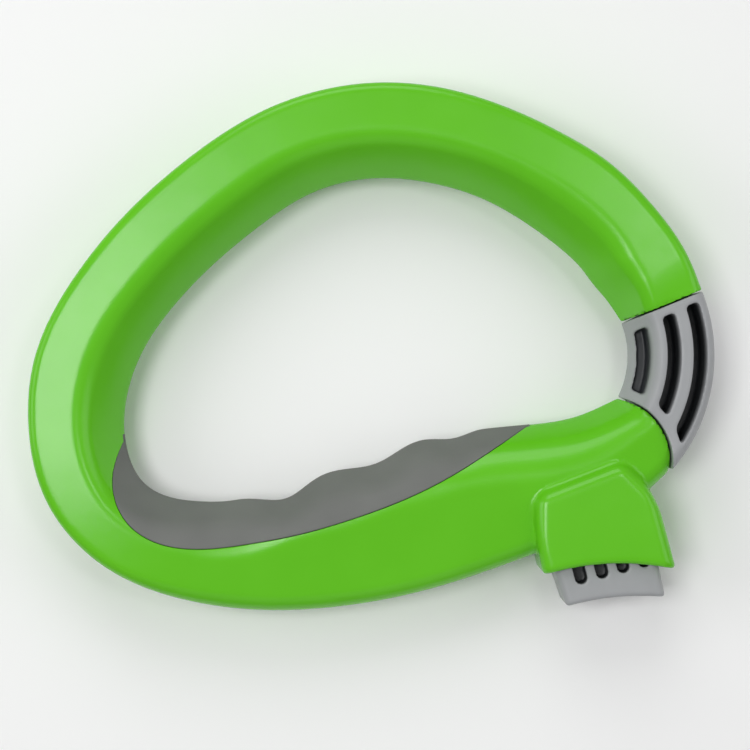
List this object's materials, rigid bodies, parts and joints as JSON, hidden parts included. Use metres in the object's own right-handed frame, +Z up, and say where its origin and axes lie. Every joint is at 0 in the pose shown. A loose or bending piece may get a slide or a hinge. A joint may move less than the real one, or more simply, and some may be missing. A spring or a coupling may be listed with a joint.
{
  "type": "carrying handle",
  "caption": "Ring-shaped carrying handle for shopping bags, with a soft finger grip and a slotted gate that swings open when the thumb button is pressed.",
  "frame": {"origin": "middle of the footprint of the handle lying on its back, on the back flat", "axes": "+X along the length towards the gate, +Y from the hand grip to the hoop, +Z up through the depth towards the front face"},
  "size_m": [0.1798, 0.1389, 0.028],
  "materials": {
    "shell_green": "satin moulded ABS with a fine texture",
    "soft_grip": "matte soft-touch",
    "gate_grey": "satin moulded",
    "button_grey": "satin moulded",
    "pin_steel": "ground",
    "spring_steel": "drawn wire",
    "screw_zinc": "zinc plated"
  },
  "bodies": {
    "root": {"front_shell": "shell_green", "rear_shell": "shell_green", "front_grip_pad": "soft_grip", "rear_grip_pad": "soft_grip", "gate_pivot_pin": "pin_steel", "gate_torsion_spring": "spring_steel", "button_return_spring": "spring_steel", "screw_1": "screw_zinc", "screw_2": "screw_zinc", "screw_3": "screw_zinc", "screw_4": "screw_zinc", "screw_5": "screw_zinc", "screw_6": "screw_zinc", "screw_7": "screw_zinc", "screw_8": "screw_zinc"},
    "gate_body": {"gate": "gate_grey"},
    "button_body": {"release_button": "button_grey"}
  },
  "joints": [
    {"name": "gate_swing", "type": "hinge", "parent": "root", "child": "gate_body", "pos_m": [0.061, -0.0303, 0.014], "axis": [0, 0, -1], "range_deg": [0, 26], "stiffness_Nm_per_rad": 0.03, "springref_deg": -20.05, "deforming": ["gate_torsion_spring"]},
    {"name": "button_press", "type": "slide", "parent": "root", "child": "button_body", "axis": [-0.2588, 0.9659, 0], "range_m": [0, 0.0043], "stiffness_N_per_m": 150, "springref_m": -0.004, "deforming": ["button_return_spring"]}
  ],
  "couplings": [
    {"joint": "gate_swing", "follows": "button_press", "rad_per_m": 105.3}
  ]
}
